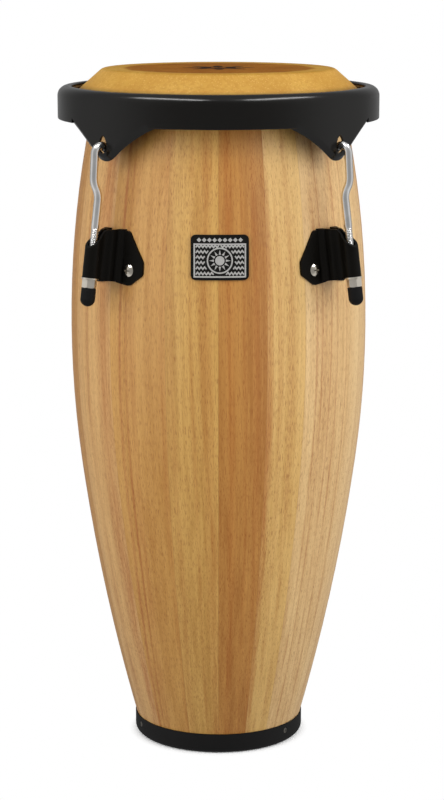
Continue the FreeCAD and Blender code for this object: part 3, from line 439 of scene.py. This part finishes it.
def black_paint(name, roughness, grain, shine):
    """Black powder paint with a fine orange-peel surface."""
    finish = Finish(name)
    peel = finish.noise(finish.place, grain, 2.0)
    smear = finish.noise(finish.place, 30.0, 3.0)
    return finish.finish(
        Base_Color=finish.mix(finish.step(peel, 0.3, 0.7), tone(9, 8, 6), tone(13, 11, 8)),
        Roughness=finish.step(smear, 0.25, 0.75, roughness - 0.03, roughness + 0.04),
        Specular_IOR_Level=shine,
        Normal=finish.bump(peel, 0.04 * MM, 0.35))


def rubber(name, base, grain):
    """Matt black rubber with moulding grain."""
    finish = Finish(name)
    fine = finish.noise(finish.place, grain, 3.0, 0.6)
    return finish.finish(
        Base_Color=finish.mix(finish.step(fine, 0.3, 0.7), tone(base, base, base),
                              tone(base + 6, base + 5, base + 5)),
        Roughness=finish.step(fine, 0.25, 0.75, 0.6, 0.78),
        Specular_IOR_Level=0.2,
        Normal=finish.bump(fine, 0.08 * MM, 0.5))


def metal(name, colour, roughness, grain=900.0, worn=0.06):
    """Plated metal, a little uneven in gloss."""
    finish = Finish(name)
    fine = finish.noise(finish.place, grain, 2.0)
    broad = finish.noise(finish.place, 60.0, 2.0)
    return finish.finish(
        Base_Color=finish.mix(finish.step(broad, 0.3, 0.7), colour, darker(colour, 0.86)),
        Metallic=1.0,
        Roughness=finish.step(fine, 0.3, 0.7, roughness, roughness + worn),
        Normal=finish.bump(fine, 0.01 * MM, 0.3))


def plain_silver(name, colour):
    """A light silver print, satin rather than mirror bright."""
    finish = Finish(name)
    fine = finish.noise(finish.place, 900.0, 2.0)
    return finish.finish(
        Base_Color=finish.mix(finish.step(fine, 0.3, 0.7), colour, darker(colour, 0.9)),
        Metallic=0.25,
        Roughness=finish.step(fine, 0.3, 0.7, 0.38, 0.48))


# ---------------------------------------------------------------------------
# Mesh building
# ---------------------------------------------------------------------------

def mesh_object(name, points, faces, material, smooth=True):
    """A new object from points and faces."""
    mesh = bpy.data.meshes.new(name)
    mesh.from_pydata([tuple(p) for p in points], [], faces)
    mesh.validate()
    made = bpy.data.objects.new(name, mesh)
    bpy.context.scene.collection.objects.link(made)
    made.data.materials.append(material)
    form = bmesh.new()
    form.from_mesh(mesh)
    bmesh.ops.recalc_face_normals(form, faces=form.faces)
    form.to_mesh(mesh)
    form.free()
    for polygon in mesh.polygons:
        polygon.use_smooth = smooth
    return made


def arc(centre, radius, start, end, steps):
    """Points of an arc in the section plane; angles in degrees from the horizontal."""
    turns = [math.radians(start + (end - start) * n / steps) for n in range(steps + 1)]
    return [(centre[0] + radius * math.cos(t), centre[1] + radius * math.sin(t)) for t in turns]


def line(start, end, steps):
    """Points of a straight run, without its first point."""
    return [tuple(a + (b - a) * n / steps for a, b in zip(start, end)) for n in range(1, steps + 1)]


def lathe(name, section, steps, material):
    """A closed surface turned from a section whose first and last points are on the axis."""
    points = [(0.0, 0.0, section[0][1])]
    for ring, height in section[1:-1]:
        for n in range(steps):
            turn = 2 * math.pi * n / steps
            points.append((ring * math.cos(turn), ring * math.sin(turn), height))
    points.append((0.0, 0.0, section[-1][1]))
    last = len(points) - 1
    rows = len(section) - 2
    faces = []
    for n in range(steps):
        after = (n + 1) % steps
        faces.append((0, 1 + n, 1 + after))
        for row in range(rows - 1):
            near = 1 + row * steps
            far = near + steps
            faces.append((near + n, far + n, far + after, near + after))
        bottom = 1 + (rows - 1) * steps
        faces.append((last, bottom + after, bottom + n))
    return mesh_object(name, points, faces, material)


def tube(name, stations, steps, material):
    """A round bar through stations of (centre, sideways, other sideways, radius of each spoke)."""
    points = []
    for centre, side, other, reach in stations:
        for n in range(steps):
            turn = 2 * math.pi * n / steps
            points.append(centre + (side * math.cos(turn) + other * math.sin(turn)) * reach(turn))
    faces = []
    for row in range(len(stations) - 1):
        near = row * steps
        far = near + steps
        for n in range(steps):
            after = (n + 1) % steps
            faces.append((near + n, near + after, far + after, far + n))
    for centre, ring in ((stations[0][0], 0), (stations[-1][0], (len(stations) - 1) * steps)):
        middle = len(points)
        points.append(centre)
        for n in range(steps):
            faces.append((middle, ring + n, ring + (n + 1) % steps))
    return mesh_object(name, points, faces, material)


# ---------------------------------------------------------------------------
# The head
# ---------------------------------------------------------------------------

HEAD_SIDES = 200


def make_head(material):
    """The hide over the bearing edge and round the flesh hoop, stretching between shell and rim."""
    underside = TOTAL_HEIGHT - SKIN
    bearing_height = underside - BEARING_ROUND
    reach = UPPER_SWEEP - BEARING_ROUND
    rise = bearing_height - BELLY_HEIGHT
    bearing = BELLY_RADIUS - UPPER_SWEEP + math.sqrt(reach ** 2 - rise ** 2)
    edge = (bearing, bearing_height)
    hoop = (HOOP_RING, HOOP_HEIGHT)
    wrap = HOOP_WIRE + SKIN
    square = 90.0 - COLLAR_SLOPE
    under = square + 180.0
    tuck = 90.0 + TUCK_ANGLE + 360.0
    section = [(0.0, TOTAL_HEIGHT)]
    section += line(section[-1], (bearing, TOTAL_HEIGHT), steps=14)
    section += arc(edge, BEARING_ROUND + SKIN, 90.0, square, steps=10)[1:]
    wire_side = arc(hoop, HOOP_WIRE, under, tuck, steps=36)
    section += line(section[-1], wire_side[0], steps=16)
    section += wire_side[1:]
    section += arc(hoop, wrap, tuck, under, steps=40)
    inner_edge = arc(edge, BEARING_ROUND, square, 90.0, steps=8)
    section += line(section[-1], inner_edge[0], steps=16)
    section += inner_edge[1:]
    section += line(section[-1], (0.0, underside), steps=8)
    head = lathe("head_skin", section, HEAD_SIDES, material)
    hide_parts("drumhead")
    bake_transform(head)


# ---------------------------------------------------------------------------
# Tuning hooks
# ---------------------------------------------------------------------------

HOOK_SIDES = 30
END_BEVEL = 1.0 * MM
END_SHARE = 0.8
THREAD_FADE = 2.5 * THREAD_PITCH
THREAD_STEEP = 1.35


def hook_walk():
    """Stations up the bent rod as (distance, ring, height, lean outward going up in degrees)."""
    stations = []
    lean = -ROD_LEAN
    ring = NUT_RING + ROD_FOOT * math.sin(math.radians(ROD_LEAN))
    height = NUT_HEIGHT - ROD_FOOT * math.cos(math.radians(ROD_LEAN))
    gone = 0.0

    def straight(length, step):
        nonlocal ring, height, gone
        count = max(1, round(length / step))
        for _ in range(count):
            stations.append((gone, ring, height, lean))
            ring += length / count * math.sin(math.radians(lean))
            height += length / count * math.cos(math.radians(lean))
            gone += length / count

    def bend(radius, end, step=4.0):
        nonlocal ring, height, gone, lean
        count = max(1, round(abs(end - lean) / step))
        turn = (end - lean) / count
        chord = 2 * radius * math.sin(math.radians(abs(turn) / 2))
        for _ in range(count):
            stations.append((gone, ring, height, lean))
            ring += chord * math.sin(math.radians(lean + turn / 2))
            height += chord * math.cos(math.radians(lean + turn / 2))
            gone += radius * math.radians(abs(turn))
            lean += turn

    threaded = ROD_FOOT + (THREAD_TOP - NUT_HEIGHT) / math.cos(math.radians(ROD_LEAN))
    straight(threaded, THREAD_PITCH / 9)
    straight((CRANK_HEIGHT - THREAD_TOP) / math.cos(math.radians(ROD_LEAN)), 2.5 * MM)
    bend(CRANK_ROUND, CRANK_ANGLE)
    bend(CRANK_ROUND, -UPPER_LEAN)
    straight((HOOK_HEIGHT - height) / math.cos(math.radians(UPPER_LEAN)), 2.5 * MM)
    bend(HOOK_ROUND, -HOOK_TURN)
    straight(HOOK_TAIL, 2.0 * MM)
    stations.append((gone, ring, height, lean))
    return stations, threaded


def make_hooks(material):
    """The four bent rods with a real rolled thread along their lower part."""
    stations, threaded = hook_walk()
    length = stations[-1][0]
    for place, facing in enumerate(LUG_ANGLES, start=1):
        turned = turn_about_axis(facing)
        rings = []
        for gone, ring, height, lean in stations:
            slope = math.radians(lean)
            centre = turned @ Vector((ring, 0.0, height))
            side = turned.to_3x3() @ Vector((math.cos(slope), 0.0, -math.sin(slope)))
            other = turned.to_3x3() @ Vector((0.0, 1.0, 0.0))
            end = min(gone, length - gone)
            blunt = min(1.0, END_SHARE + (1.0 - END_SHARE) * end / END_BEVEL)
            faded = min(1.0, max(0.0, (threaded - gone) / THREAD_FADE))

            def reach(turn, gone=gone, blunt=blunt, faded=faded):
                phase = (gone / THREAD_PITCH - turn / (2 * math.pi)) % 1.0
                groove = abs(2.0 * phase - 1.0)
                return blunt * (ROD - THREAD_DEPTH * faded * min(1.0, THREAD_STEEP * groove))

            rings.append((centre, side, other, reach))
        hook = tube(f"tuning_hook_{place}", rings, HOOK_SIDES, material)
        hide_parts(f"hook_{place}")
        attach(hook, f"hook_{place}")


# ---------------------------------------------------------------------------
# The badge's raised line work
# ---------------------------------------------------------------------------

ART_RISE = 0.18 * MM
ART_SUNK = -0.05 * MM

FRAME_SIDE = 3.6 * MM
FRAME_BELOW = 3.4 * MM
FRAME_ABOVE = 9.2 * MM
FRAME_LINE = 1.5 * MM

ZIGZAG_ROWS = 6
ZIGZAG_STEP = 1.75 * MM
ZIGZAG_SWING = 1.1 * MM
ZIGZAG_LINE = 1.35 * MM
ZIGZAG_END = 0.4 * MM

SUN_RING = 12.2 * MM
SUN_CLEAR = 1.2 * MM
SUN_LINE = 1.4 * MM
SUN_RAYS = 12
SUN_RAY_TIP = 10.6 * MM
SUN_RAY_FOOT = 6.0 * MM
SUN_RAY_SPREAD = 11.0
SUN_CORE = 4.6 * MM

LOZENGES = 9
LOZENGE_STEP = 5.1 * MM
LOZENGE_HALF_WIDTH = 2.3 * MM
LOZENGE_HALF_HEIGHT = 2.2 * MM


def on_badge(across, up, rise):
    """A point of the curved badge: sideways from its middle, above its middle, above its face."""
    height = BADGE_HEIGHT + up
    ring = shell_radius(height) + BADGE_PROUD + rise
    return turn_about_axis(BADGE_ANGLE) @ Vector((math.sqrt(ring ** 2 - across ** 2), across, height))


def cut_short(route, longest):
    """A closed route with its long straight runs cut into shorter ones."""
    result = []
    for n, start in enumerate(route):
        end = route[(n + 1) % len(route)]
        count = max(1, math.ceil(math.dist(start, end) / longest))
        result += [tuple(a + (b - a) * k / count for a, b in zip(start, end)) for k in range(count)]
    return result


def stroke(points, faces, route, wide, closed=False):
    """Add one raised line of even width along a flat route to points and faces."""
    count = len(route)
    first = len(points)
    for n, (across, up) in enumerate(route):
        before = route[n - 1] if n or closed else route[0]
        after = route[(n + 1) % count] if n + 1 < count or closed else route[-1]
        into = Vector((across - before[0], up - before[1]))
        onward = Vector((after[0] - across, after[1] - up))
        if into.length == 0:
            into = onward
        if onward.length == 0:
            onward = into
        into.normalize()
        onward.normalize()
        normal = Vector((-into.y - onward.y, into.x + onward.x)).normalized()
        miter = wide / 2 / max(0.5, normal.dot(Vector((-into.y, into.x))))
        for side in (-1, 1):
            for rise in (ART_SUNK, ART_RISE):
                spot = on_badge(across + side * miter * normal.x, up + side * miter * normal.y, rise)
                points.append(spot)
    spans = count if closed else count - 1
    for n in range(spans):
        a = first + 4 * n
        b = first + 4 * ((n + 1) % count)
        faces += [(a + 1, b + 1, b + 3, a + 3), (a, a + 2, b + 2, b),
                  (a, b, b + 1, a + 1), (a + 2, a + 3, b + 3, b + 2)]
    if not closed:
        last = first + 4 * (count - 1)
        faces += [(first, first + 1, first + 3, first + 2), (last, last + 2, last + 3, last + 1)]


def disc(points, faces, outline):
    """Add one raised flat shape bounded by an outline round its middle."""
    count = len(outline)
    first = len(points)
    for across, up in outline:
        points.append(on_badge(across, up, ART_SUNK))
        points.append(on_badge(across, up, ART_RISE))
    middle_across = sum(p[0] for p in outline) / count
    middle_up = sum(p[1] for p in outline) / count
    points.append(on_badge(middle_across, middle_up, ART_SUNK))
    points.append(on_badge(middle_across, middle_up, ART_RISE))
    low = first + 2 * count
    for n in range(count):
        a = first + 2 * n
        b = first + 2 * ((n + 1) % count)
        faces += [(a, b, b + 1, a + 1), (a + 1, b + 1, low + 1), (b, a, low)]


def sun_point(ring, angle, middle):
    """A point at an angle in degrees on a circle round the sun's middle."""
    turn = math.radians(angle)
    return ring * math.cos(turn), middle + ring * math.sin(turn)


def zigzags(points, faces, right, low, high):
    """Rows of zigzag either side of the sun, between the frame's low and high edges."""
    middle = (low + high) / 2
    for row in range(ZIGZAG_ROWS):
        level = low + (row + 0.62) * (high - low) / ZIGZAG_ROWS
        clear = math.sqrt(max(0.0, (SUN_RING + SUN_CLEAR) ** 2 - (level - middle) ** 2))
        for side in (-1, 1):
            route = []
            across = right - SUN_LINE
            swing = -ZIGZAG_SWING
            while across > clear + ZIGZAG_END:
                route.append((side * across, level + swing))
                across -= ZIGZAG_STEP
                swing = -swing
            if len(route) > 1:
                stroke(points, faces, route, ZIGZAG_LINE)


def sun(points, faces, middle):
    """A ring, pointed rays inside it and a round core."""
    circle = [sun_point(SUN_RING, angle, middle) for angle in range(0, 360, 9)]
    stroke(points, faces, circle, SUN_LINE, closed=True)
    for ray in range(SUN_RAYS):
        angle = 360 / SUN_RAYS * ray
        disc(points, faces, [sun_point(SUN_RAY_FOOT, angle - SUN_RAY_SPREAD, middle),
                             sun_point(SUN_RAY_TIP, angle, middle),
                             sun_point(SUN_RAY_FOOT, angle + SUN_RAY_SPREAD, middle)])
    disc(points, faces, [sun_point(SUN_CORE, angle, middle) for angle in range(0, 360, 15)])


def lozenge_row(points, faces, level):
    """A row of small lozenges above the frame."""
    for n in range(LOZENGES):
        across = (n - (LOZENGES - 1) / 2) * LOZENGE_STEP
        disc(points, faces, [(across - LOZENGE_HALF_WIDTH, level), (across, level - LOZENGE_HALF_HEIGHT),
                             (across + LOZENGE_HALF_WIDTH, level), (across, level + LOZENGE_HALF_HEIGHT)])


def make_badge_art(material):
    """A plain ornament: a frame, rows of zigzag either side of a sun, and a row of lozenges."""
    points = []
    faces = []
    right = BADGE_HALF_WIDTH - FRAME_SIDE
    low = -BADGE_HALF_HEIGHT + FRAME_BELOW
    high = BADGE_HALF_HEIGHT - FRAME_ABOVE
    corners = [(-right, low), (right, low), (right, high), (-right, high)]
    stroke(points, faces, cut_short(corners, 3.0 * MM), FRAME_LINE, closed=True)
    zigzags(points, faces, right, low, high)
    sun(points, faces, (low + high) / 2)
    lozenge_row(points, faces, (high + BADGE_HALF_HEIGHT) / 2 - 0.4 * MM)
    art = mesh_object("badge_art", points, faces, material, smooth=False)
    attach(art, "shell")


# ---------------------------------------------------------------------------
# Putting the drum together
# ---------------------------------------------------------------------------

def paint(node, material):
    """Give a CAD node its material."""
    target = NODES[node]
    target.data.materials.clear()
    target.data.materials.append(material)


def dress_drum():
    """Every shown node and piece gets its finish."""
    start = FIRST_JOINT
    for place, width in enumerate(STAVE_WIDTHS, start=1):
        label = f"stave_{place:02d}"
        paint(label, wood(f"wood_{place:02d}", place, start + width / 2))
        start += width
    bracket_paint = black_paint("bracket_paint", 0.42, 700.0, 0.09)
    zinc = metal("zinc_plate", tone(246, 238, 224), 0.32, 600.0, 0.06)
    paint("rim", black_paint("rim_paint", 0.2, 500.0, 0.32))
    paint("flesh_hoop", metal("hoop_steel", tone(120, 116, 110), 0.4))
    paint("base_ring", rubber("foot_rubber", 15, 900.0))
    paint("base_screws", metal("black_screws", tone(120, 116, 110), 0.4))
    paint("bracket_bolts", metal("bolt_nickel", tone(226, 218, 204), 0.16, worn=0.08))
    paint("bolt_washers", zinc)
    paint("bolt_nuts", zinc)
    paint("badge_pad", rubber("pad_foam", 24, 1400.0))
    paint("badge_plate", black_paint("badge_enamel", 0.35, 800.0, 0.25))
    cap_rubber = rubber("cap_vinyl", 8, 1200.0)
    for place in range(1, len(LUG_ANGLES) + 1):
        paint(f"bracket_{place}", bracket_paint)
        paint(f"lug_washer_{place}", zinc)
        paint(f"lug_nut_{place}", zinc)
        paint(f"rod_cap_{place}", cap_rubber)
    make_head(hide())
    make_hooks(metal("chrome", tone(248, 247, 245), 0.17, worn=0.04))
    make_badge_art(plain_silver("badge_silver", tone(188, 186, 183)))


# ---------------------------------------------------------------------------
# Floor, light and camera
# ---------------------------------------------------------------------------

# the floor is pure white beyond the small round place where the drum's own shadow shows
FLOOR_RADIUS = 1.2
FLOOR_LIFT = 1.1
FLOOR_GLOW = 0.05
SHADOW_START = 82.0 * MM
SHADOW_END = 98.0 * MM

# the sky's brightness as light on the drum, and as the drum's glossy parts mirror it
SKY_GREY = (0.8, 0.8, 0.8, 1.0)
SKY_WHITE = (1.0, 1.0, 1.0, 1.0)
SKY_FRONT = 0.12
SKY_BACK = 0.6
GLOSS_FRONT = 0.4
GLOSS_SIDE = 0.85
GLOSS_BACK = 0.38

DRUM_MIDDLE = Vector((0.0, 0.0, 0.42))
RIM_MIDDLE = Vector((0.0, 0.0, 0.68))

CAMERA_AZIMUTH = -1.5
CAMERA_DISTANCE = 2.432
CAMERA_HEIGHT = 0.843
CAMERA_PITCH = 11.19
CAMERA_LENS = 105.3
CAMERA_SENSOR = 36.0
CAMERA_SHIFT = 0.0044


def make_floor():
    """A plain white floor, bright enough to go pure white outside the drum's own contact shadow."""
    material = bpy.data.materials.new("white_floor")
    tree = Tree(material, "ShaderNodeOutputMaterial")
    matt = tree.node("ShaderNodeBsdfDiffuse", {"Color": (FLOOR_LIFT, FLOOR_LIFT, FLOOR_LIFT, 1.0)})
    glow = tree.node("ShaderNodeEmission", {"Strength": FLOOR_GLOW})
    lit = tree.node("ShaderNodeAddShader", {0: matt.outputs[0], 1: glow.outputs[0]})
    white = tree.node("ShaderNodeEmission", {"Strength": 1.0})
    place = tree.nodes.new("ShaderNodeTexCoord").outputs["Object"]
    away = tree.node("ShaderNodeVectorMath", {0: place}, operation="LENGTH").outputs["Value"]
    fade = tree.step(away, SHADOW_START, SHADOW_END)
    tree.put(tree.surface, tree.blended(fade, lit.outputs[0], white.outputs[0]))
    points = [(FLOOR_RADIUS * math.cos(math.radians(a)), FLOOR_RADIUS * math.sin(math.radians(a)), 0.0)
              for a in range(0, 360, 6)]
    floor = mesh_object("floor", points, [tuple(range(len(points)))], material, smooth=False)
    floor.visible_diffuse = False
    floor.visible_glossy = False


def make_sky():
    """Pure white where the camera looks, with one brightness for lighting and another for mirroring."""
    world = bpy.data.worlds.new("studio")
    bpy.context.scene.world = world
    tree = Tree(world, "ShaderNodeOutputWorld")
    backward = tree.split(tree.nodes.new("ShaderNodeTexCoord").outputs["Generated"])["Y"]
    # light falls mostly from behind; mirrored, the sky is brightest at the sides
    cast_level = tree.step(backward, -0.2, 0.8, SKY_FRONT, SKY_BACK)
    mirror_level = tree.times(tree.step(backward, -0.95, -0.2, GLOSS_FRONT, GLOSS_SIDE),
                              tree.step(backward, -0.1, 0.7, 1.0, GLOSS_BACK / GLOSS_SIDE))
    shown = tree.node("ShaderNodeBackground", {"Color": SKY_WHITE, "Strength": 1.0})
    cast = tree.node("ShaderNodeBackground", {"Color": SKY_GREY, "Strength": cast_level})
    mirrored = tree.node("ShaderNodeBackground", {"Color": SKY_GREY, "Strength": mirror_level})
    ray = tree.nodes.new("ShaderNodeLightPath").outputs
    unseen = tree.blended(ray["Is Glossy Ray"], cast.outputs[0], mirrored.outputs[0])
    tree.put(tree.surface, tree.blended(ray["Is Camera Ray"], unseen, shown.outputs[0]))


def soft_box(name, azimuth, elevation, distance, wide, tall, power, target=DRUM_MIDDLE, glint=False):
    """A soft light that faces a target; azimuth from the front, positive to the right.

    A glint is seen only mirrored in glossy parts; any other soft light is never mirrored.
    """
    data = bpy.data.lights.new(name, "AREA")
    data.shape = "RECTANGLE"
    data.size = wide
    data.size_y = tall
    data.energy = power
    light = bpy.data.objects.new(name, data)
    bpy.context.scene.collection.objects.link(light)
    turn = math.radians(azimuth)
    lift = math.radians(elevation)
    away = Vector((math.sin(turn) * math.cos(lift), -math.cos(turn) * math.cos(lift), math.sin(lift)))
    light.location = target + away * distance
    light.rotation_euler = away.to_track_quat("Z", "Y").to_euler()
    light.visible_glossy = glint
    light.visible_diffuse = not glint


def make_camera():
    """A long-lens camera in front of the drum, a little above it and looking slightly down."""
    data = bpy.data.cameras.new("camera")
    data.sensor_fit = "VERTICAL"
    data.sensor_height = CAMERA_SENSOR
    data.lens = CAMERA_LENS
    data.shift_x = CAMERA_SHIFT
    camera = bpy.data.objects.new("camera", data)
    bpy.context.scene.collection.objects.link(camera)
    turn = math.radians(CAMERA_AZIMUTH)
    camera.location = (CAMERA_DISTANCE * math.sin(turn), -CAMERA_DISTANCE * math.cos(turn), CAMERA_HEIGHT)
    camera.rotation_euler = (math.radians(90.0 - CAMERA_PITCH), 0.0, turn)
    bpy.context.scene.camera = camera


def make_studio():
    """White floor and sky, two large side lights, one above, two strips that only glint, and the camera."""
    make_floor()
    make_sky()
    soft_box("left_light", azimuth=-55.0, elevation=13.0, distance=1.9, wide=1.9, tall=2.1, power=33.5)
    soft_box("right_light", azimuth=62.0, elevation=13.0, distance=1.9, wide=2.1, tall=2.1, power=41.0)
    soft_box("top_light", azimuth=0.0, elevation=50.0, distance=2.4, wide=1.6, tall=0.8, power=9.0)
    for name, azimuth in (("left_strip", -50.0), ("right_strip", 60.0)):
        soft_box(name, azimuth, elevation=58.0, distance=1.6, wide=1.2, tall=0.25, power=16.0,
                 target=RIM_MIDDLE, glint=True)
    make_camera()
    bpy.context.scene.view_settings.view_transform = "Standard"


dress_drum()
make_studio()

bpy.context.view_layer.update()
